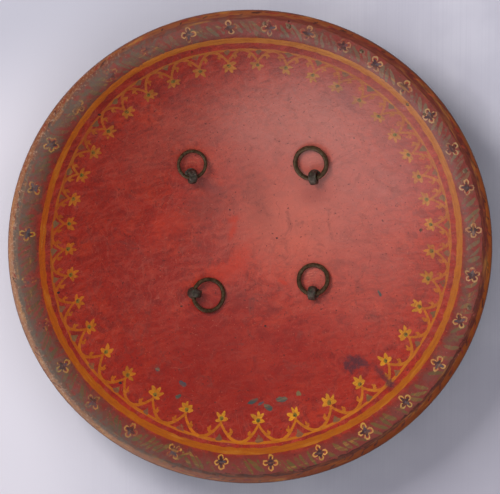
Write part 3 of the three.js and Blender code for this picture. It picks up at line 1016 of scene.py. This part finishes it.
def material_front():
    s = Shade("dark_lacquer")
    broad = s.noise(40, 4.0, 0.6)
    middle = s.noise(8, 5.0, 0.6)
    fine = s.noise(1.8, 4.0, 0.65)
    brush = s.stretched(1.4, 50, 0.4, 3.0, 5.0)
    colour = s.mix(s.ramp(broad, 0.35, 0.65), linear(34, 22, 18), linear(52, 28, 20))
    colour = s.layers(colour, (brush, 0.5, 0.7, 0.35, (66, 34, 22)))
    radius = s.length(s.vector("MULTIPLY", s.place, (1.0, 1.0, 0.0)))
    shaken = s.math("ADD", radius, s.times(s.math("SUBTRACT", middle, 0.5), 2.4))
    on_lip = s.ramp(s.part(s.place, 2), 84.0, 88.0)
    for line_radius, half in ((212.0, 2.4), (205.0, 0.9), (104.0, 1.6)):
        off = s.math("ABSOLUTE", s.math("SUBTRACT", shaken, line_radius))
        worn = s.ramp(s.noise(3.0, 4.0, 0.65), 0.64, 0.48, 0.2, 0.95)
        mask = s.times(s.ramp(off, half + 0.3, half - 0.3), worn, s.math("SUBTRACT", 1.0, on_lip))
        colour = s.mix(mask, colour, linear(158, 104, 34))
    edge_wear = s.ramp(s.math("ADD", radius, s.times(middle, 5.0)), 237.5, 242.5)
    colour = s.wash(colour, edge_wear, 0.7, (92, 36, 20))
    colour = s.layers(colour, (s.noise(2.4, 2.0, 0.5), 0.68, 0.73, 0.6, (96, 60, 40)))
    height = s.total((broad, 0.5), (middle, 0.16), (brush, 0.12), (fine, 0.04))
    rough = s.ramp(middle, 0.3, 0.7, 0.26, 0.44, False)
    return s.surface(Base_Color=colour, Roughness=rough, Normal=s.bump(height), Coat_Weight=0.3,
                     Coat_Roughness=0.2)


def material_metal(name, base, worn, green, green_amount, roughness):
    base, worn, green = shades(base, worn, green)
    s = Shade(name)
    broad = s.noise(7, 4.0, 0.6)
    fine = s.noise(1.1, 4.0, 0.65)
    pits = s.noise(0.55, 2.0, 0.5)
    geometry = s.tree.nodes.new("ShaderNodeNewGeometry")
    ridge = s.ramp(geometry.outputs["Pointiness"], 0.5, 0.56)
    colour = s.mix(s.ramp(broad, 0.35, 0.65), base, tuple(c * 1.5 for c in base))
    colour = s.mix(s.ramp(fine, 0.42, 0.7, 0.0, 0.6), colour, tuple(c * 0.45 for c in base))
    colour = s.mix(s.times(s.ramp(s.noise(3.0, 4.0, 0.7), 0.5, 0.64), green_amount), colour, green)
    colour = s.mix(s.times(ridge, 0.5), colour, worn)
    metallic = s.ramp(s.noise(2.4, 3.0, 0.6), 0.35, 0.65, 0.35, 0.8)
    rough = s.ramp(fine, 0.3, 0.7, roughness - 0.1, roughness + 0.14, False)
    height = s.total((broad, 0.3), (fine, 0.09), (pits, 0.03))
    return s.surface(Base_Color=colour, Metallic=metallic, Roughness=rough, Normal=s.bump(height))


# Metal fittings

def frame_of(place):
    """Ways out through the hide, along the lying ring and across it."""
    corner, off_corner, lies, ring, wire = FITTINGS[place]
    x = SHIFT[0] + corner[0] * SPACING / 2 + off_corner[0]
    y = SHIFT[1] + corner[1] * SPACING / 2 + off_corner[1]
    out = Vector((x, y, -math.sqrt(HOLLOW_RADIUS ** 2 - x * x - y * y))).normalized()
    lie = Vector((lies[0], lies[1], 0))
    lie = (lie - out * lie.dot(out)).normalized()
    side = lie.cross(out)
    return out, lie, side


def new_object(name, verts, faces, material):
    mesh = bpy.data.meshes.new(name)
    mesh.from_pydata([tuple(v) for v in verts], [], faces)
    mesh.update()
    mesh.polygons.foreach_set("use_smooth", [True] * len(mesh.polygons))
    mesh.materials.append(material)
    made = bpy.data.objects.new(name, mesh)
    scene.collection.objects.link(made)
    return made


def lathe(profile, steps, place_point):
    """Turns a list of (radius, height) round an axis; place_point puts a local point into the scene."""
    verts, faces, rings = [], [], []
    for radius, height in profile:
        if radius < 1e-6:
            rings.append([len(verts)] * steps)
            verts.append(place_point(0, 0, height))
            continue
        ring = []
        for i in range(steps):
            a = TURN * i / steps
            ring.append(len(verts))
            verts.append(place_point(radius * math.cos(a), radius * math.sin(a), height))
        rings.append(ring)
    for low, high in zip(rings[:-1], rings[1:]):
        for i in range(steps):
            j = (i + 1) % steps
            corners = [low[i], low[j], high[j], high[i]]
            kept = [c for n, c in enumerate(corners) if c != corners[n - 1]]
            if len(set(kept)) >= 3:
                faces.append(kept)
    return verts, faces


def merged(parts):
    verts, faces = [], []
    for part_verts, part_faces in parts:
        first = len(verts)
        verts.extend(part_verts)
        faces.extend([[i + first for i in f] for f in part_faces])
    return verts, faces


def tube_faces(steps, section):
    """Faces of a closed tube whose points are listed section by section."""
    faces = []
    for i in range(steps):
        this, following = i * section, (i + 1) % steps * section
        for j in range(section):
            k = (j + 1) % section
            faces.append([this + j, following + j, following + k, this + k])
    return faces


def face_outwards(obj):
    shape = bmesh.new()
    shape.from_mesh(obj.data)
    bmesh.ops.recalc_face_normals(shape, faces=shape.faces)
    shape.to_mesh(obj.data)
    shape.free()


def fused(obj, voxel, smooth_steps):
    """Melts overlapping closed shells into one skin, as a forged piece is."""
    remesh = obj.modifiers.new("fuse", "REMESH")
    remesh.mode = "VOXEL"
    remesh.voxel_size = voxel
    remesh.use_smooth_shade = True
    relax = obj.modifiers.new("relax", "SMOOTH")
    relax.factor = 0.5
    relax.iterations = smooth_steps
    bpy.context.view_layer.update()
    baked = bpy.data.meshes.new_from_object(obj.evaluated_get(bpy.context.evaluated_depsgraph_get()))
    materials = list(obj.data.materials)
    obj.modifiers.clear()
    obj.data = baked
    baked.materials.clear()
    for m in materials:
        baked.materials.append(m)
    baked.polygons.foreach_set("use_smooth", [True] * len(baked.polygons))


def hammered(obj, size, depth, seed):
    """Small uneven flats left by the hammer, pushed along the normals; sizes in millimetres."""
    offset = Vector((seed * 13.7, seed * 5.1, seed * 9.3))
    mesh = obj.data
    places = np.empty(len(mesh.vertices) * 3, np.float32)
    normals = np.empty(len(mesh.vertices) * 3, np.float32)
    mesh.vertices.foreach_get("co", places)
    mesh.vertex_normals.foreach_get("vector", normals)
    places = places.reshape(-1, 3)
    push = np.array([noise.noise(Vector(p) / (size * MM) + offset) for p in places.tolist()])
    places += normals.reshape(-1, 3) * (push * depth * MM)[:, None]
    mesh.vertices.foreach_set("co", places.ravel().astype(np.float32))
    mesh.update()


def make_eye(place, material):
    out, lie, side = frame_of(place)

    def stem_point(a, b, height):
        return (SPHERE_CENTRE + out * (HOLLOW_RADIUS - height) + lie * a + side * b) * MM

    def seat_height(radius):
        return HOLLOW_RADIUS - math.sqrt((HOLLOW_RADIUS - GAP) ** 2 - radius ** 2)

    stem = [(0, -14.4), (2.5, -14.4), (2.5, seat_height(2.5)), (5.9, seat_height(5.9)), (6.25, 0.55),
            (6.2, 0.95), (5.6, 1.35), (4.4, 1.8), (3.5, 2.5), (3.2, 3.4), (3.1, 4.2), (0, 4.2)]
    parts = [lathe(stem, 40, stem_point)]

    # The eye itself: a thick strap bent round the hole
    verts = []
    steps, section = 56, 20
    inner, outer = EYE_HOLE / 2, EYE_LENGTH / 2
    for i in range(steps):
        a = TURN * i / steps
        crown = 1.0 + 0.10 * max(0.0, math.sin(a)) ** 2
        for j in range(section):
            b = TURN * j / section
            across = math.copysign(abs(math.cos(b)) ** 0.62, math.cos(b))
            along = math.copysign(abs(math.sin(b)) ** 0.62, math.sin(b))
            radius = (inner + outer) / 2 + (outer - inner) / 2 * across
            height = EYE_HEIGHT + radius * math.sin(a)
            verts.append(stem_point(radius * math.cos(a), EYE_WIDTH / 2 * crown * along, height))
    parts.append((verts, tube_faces(steps, section)))
    eye = new_object(f"forged_eye_{place}", *merged(parts), material)
    face_outwards(eye)
    fused(eye, 0.33 * MM, 2)
    hammered(eye, 3.4, 0.32, len(place) + out.x * 7)
    return eye


def ring_place(place):
    """Where a ring lies: its centre, its two ways, and the radii of its middle line and wire."""
    ring, wire_diameter = FITTINGS[place][3:]
    out, lie, side = frame_of(place)
    wire = wire_diameter / 2
    middle = ring / 2 - wire
    bow = middle - math.sqrt(middle ** 2 - (EYE_WIDTH / 2) ** 2)
    slack = max(EYE_HOLE / 2 - wire - bow - 0.35, 0)
    from_centre = HOLLOW_RADIUS - EYE_HEIGHT
    reach = HOLLOW_RADIUS - wire - 0.5
    to_pivot = math.hypot(from_centre, slack)
    lean = math.atan2(-slack, from_centre)
    droop = math.asin((reach ** 2 - to_pivot ** 2 - 4 * middle ** 2) / (4 * middle * to_pivot)) - lean
    pivot = SPHERE_CENTRE + out * from_centre - lie * slack
    towards = lie * math.cos(droop) + out * math.sin(droop)
    return pivot + towards * middle, towards, side, middle, wire


def make_ring(place, material):
    centre, towards, side, middle, wire = ring_place(place)
    third = towards.cross(side)
    seed = len(place) * 3.1 + towards.x
    joint = {"upper_left": 2.2, "upper_right": 5.2, "lower_left": 1.2, "lower_right": 0.9}[place]
    steps, section = 144, 20
    verts = []
    for i in range(steps):
        a = TURN * i / steps
        direction = towards * math.cos(a) + side * math.sin(a)
        off = abs((a - joint + math.pi) % TURN - math.pi) * middle
        thick = 1 + 0.03 * math.sin(3 * a + seed) + 0.02 * math.sin(7 * a + seed * 2)
        thick += 0.05 * math.exp(-((off - 2.0) / 1.4) ** 2) - 0.06 * math.exp(-(off / 0.45) ** 2)
        near_eye = math.exp(-((a - math.pi) / 0.35) ** 2)
        thick = thick * (1 - near_eye) + 0.98 * near_eye
        for j in range(section):
            b = TURN * j / section
            outward = direction * (middle + wire * thick * math.cos(b))
            verts.append((centre + outward + third * (wire * min(thick, 1.03) * math.sin(b))) * MM)
    ring = new_object(f"grip_ring_{place}", verts, tube_faces(steps, section), material)
    face_outwards(ring)
    hammered(ring, 4.5, 0.16, seed)
    return ring


def make_boss(place, material):
    out, lie, side = frame_of(place)
    foot = DOME_RADIUS - math.sqrt(DOME_RADIUS ** 2 - FOOT_RADIUS ** 2)
    dome_centre = (SPHERE_Z - DOME_RADIUS + foot) / -out.z

    def put(a, b, height):
        point = SPHERE_CENTRE + out * height + lie * a + side * b
        point.z = max(point.z, 0.0)
        return point * MM

    profile = []
    for radius, extra in (
            (0, 0.0), (24, 0.0), (26.7, 0.0), (27, 0.35), (27, 1.5), (26.8, 2.0), (26.3, 2.35),
            (25.4, 2.4), (24.6, 2.1), (24.1, 1.85), (23.6, 2.1), (22.9, 2.4), (21.9, 2.4), (21.2, 2.4)):
        profile.append((radius, math.sqrt((FRONT_RADIUS + GAP) ** 2 - radius ** 2) + extra))
    start = math.asin(21 / DOME_RADIUS)
    for i in range(25):
        a = start * (1 - i / 24)
        groove = sum(0.28 * math.exp(-((a / start - line) / 0.018) ** 2) for line in (0.92, 0.84, 0.30))
        reach = DOME_RADIUS - groove
        profile.append((reach * math.sin(a), dome_centre + reach * math.cos(a)))
    verts, faces = lathe(profile, 96, put)
    boss = new_object(f"domed_boss_{place}", verts, faces, material)
    face_outwards(boss)
    return boss


def height_at(x, y):
    return float(inside_height(np.array([x]), np.array([y]))[0])


def make_nails(material):
    parts = []
    for x, y, radius, height in NAILS:
        r = math.hypot(x, y)
        z = height_at(x, y)
        step = 0.5
        rise = height_at(x * (r + step) / r, y * (r + step) / r) - z
        up = Vector((-x / r * rise / step, -y / r * rise / step, 1)).normalized()
        right = up.cross(Vector((0, 1, 0))).normalized()
        front = right.cross(up)
        base = Vector((x, y, z))

        def put(a, b, h):
            return (base + right * a + front * b + up * h) * MM

        profile = [(0, -0.8), (radius * 0.9, -0.8)]
        for i in range(8):
            a = math.pi / 2 * (1 - i / 8)
            profile.append((radius * math.sin(a), height * math.cos(a) + 0.02))
        profile.append((0, height))
        parts.append(lathe(profile, 28, put))
    nails = new_object("nail_heads", *merged(parts), material)
    face_outwards(nails)
    return nails


# Everything put together

dish = build_dish()
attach(dish, "shield")
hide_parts("shield_body")

# Metals: ground, worn and green colours, how much green, and roughness
METALS = {
    "eye_metal": ((72, 62, 56), (136, 124, 112), (78, 92, 72), 0.5, 0.5),
    "ring_metal": ((66, 48, 34), (122, 98, 70), (58, 70, 44), 0.5, 0.44),
    "boss_metal": ((112, 88, 52), (176, 142, 86), (84, 98, 66), 0.35, 0.4),
    "nail_metal": ((110, 84, 66), (180, 160, 132), (92, 96, 76), 0.3, 0.45),
}
eye_metal, ring_metal, boss_metal, nail_metal = [material_metal(name, *look) for name, look in METALS.items()]

for place in FITTINGS:
    eye = make_eye(place, eye_metal)
    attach(eye, "shield")
    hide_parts(f"ring_eye_{place}")
    ring = make_ring(place, ring_metal)
    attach(ring, f"ring_{place}")
    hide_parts(f"strap_ring_{place}")
    boss = make_boss(place, boss_metal)
    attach(boss, "shield")
    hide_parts(f"boss_{place}")

nails = make_nails(nail_metal)
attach(nails, "shield")


# Pale sheet under the shield

def make_floor():
    s = Shade("pale_sheet")
    thread = s.stretched(0.9, 400, math.pi / 2, 2.0, 9.0, 0.0)
    sideways = s.part(s.place, 0)
    upwards = s.part(s.place, 1)
    colour = s.mix(s.ramp(s.noise(60, 3.0, 0.5), 0.35, 0.65), linear(196, 193, 206), linear(204, 201, 213))
    # Painted light on the sheet: brighter towards the left, a painted shadow towards the lower right and
    # painted shade towards the top
    colour = s.layers(
        colour,
        (thread, 0.45, 0.7, 0.25, (184, 181, 196)), (sideways, -60.0, -240.0, 1.0, (224, 219, 229)),
        (s.math("SUBTRACT", sideways, upwards), 330.0, 440.0, 0.6, (168, 163, 176)),
        (s.math("SUBTRACT", upwards, s.times(sideways, 0.4)), 170.0, 320.0, 1.0, (190, 188, 200)),
    )
    s.surface(Base_Color=colour, Roughness=0.9)
    half = 3.0
    corners = [(-half, -half, 0), (half, -half, 0), (half, half, 0), (-half, half, 0)]
    floor = new_object("floor", corners, [[0, 1, 2, 3]], s.material)


make_floor()


# Light and camera

def soft_light(name, azimuth, elevation, distance, size, power, colour, size_y=None):
    a, e = math.radians(azimuth), math.radians(elevation)
    direction = Vector((math.sin(a) * math.cos(e), math.cos(a) * math.cos(e), math.sin(e)))
    data = bpy.data.lights.new(name, "AREA")
    data.shape = "RECTANGLE"
    data.size = size
    data.size_y = size_y or size
    data.energy = power
    data.color = colour
    light = bpy.data.objects.new(name, data)
    light.location = direction * distance
    light.rotation_euler = direction.to_track_quat("Z", "Y").to_euler()
    scene.collection.objects.link(light)
    return light


key = soft_light("key", 318, 50, 2.6, 0.8, 42, (1.0, 0.985, 0.97))
key.visible_glossy = False
fill = soft_light("fill", 330, 84, 3.0, 4.0, 66, (0.96, 0.975, 1.0))
fill.visible_glossy = False
sheen = soft_light("sheen", 216, 31, 2.5, 3.1, 32, (1.0, 0.975, 0.96), 1.8)
sheen.visible_diffuse = False

world = bpy.data.worlds.new("pale_room")
world.use_nodes = True
world.node_tree.nodes["Background"].inputs[0].default_value = (0.86, 0.88, 0.95, 1.0)
world.node_tree.nodes["Background"].inputs[1].default_value = 0.12
scene.world = world
scene.view_settings.view_transform = "Standard"
scene.view_settings.look = "None"

# The camera stands 4 m away, leaning towards the top of the shield and a little to its left
tilt, swing = math.radians(12.19), math.radians(-3.23)
towards_camera = Vector((math.sin(tilt) * math.sin(swing), math.sin(tilt) * math.cos(swing), math.cos(tilt)))
camera_up = (Vector((0, 1, 0)) - towards_camera * towards_camera.y).normalized()
camera_right = camera_up.cross(towards_camera)
camera_data = bpy.data.cameras.new("camera")
camera_data.sensor_width = 36.0
camera_data.lens = 290.7
camera_data.clip_end = 50.0
camera = bpy.data.objects.new("camera", camera_data)
spot = Vector((0, 0, EDGE_Z * MM)) + towards_camera * 4.0 + camera_up * 0.00243 - camera_right * 0.00029
camera.matrix_world = Matrix((
    (camera_right.x, camera_up.x, towards_camera.x, spot.x),
    (camera_right.y, camera_up.y, towards_camera.y, spot.y),
    (camera_right.z, camera_up.z, towards_camera.z, spot.z),
    (0, 0, 0, 1),
))
scene.collection.objects.link(camera)
scene.camera = camera
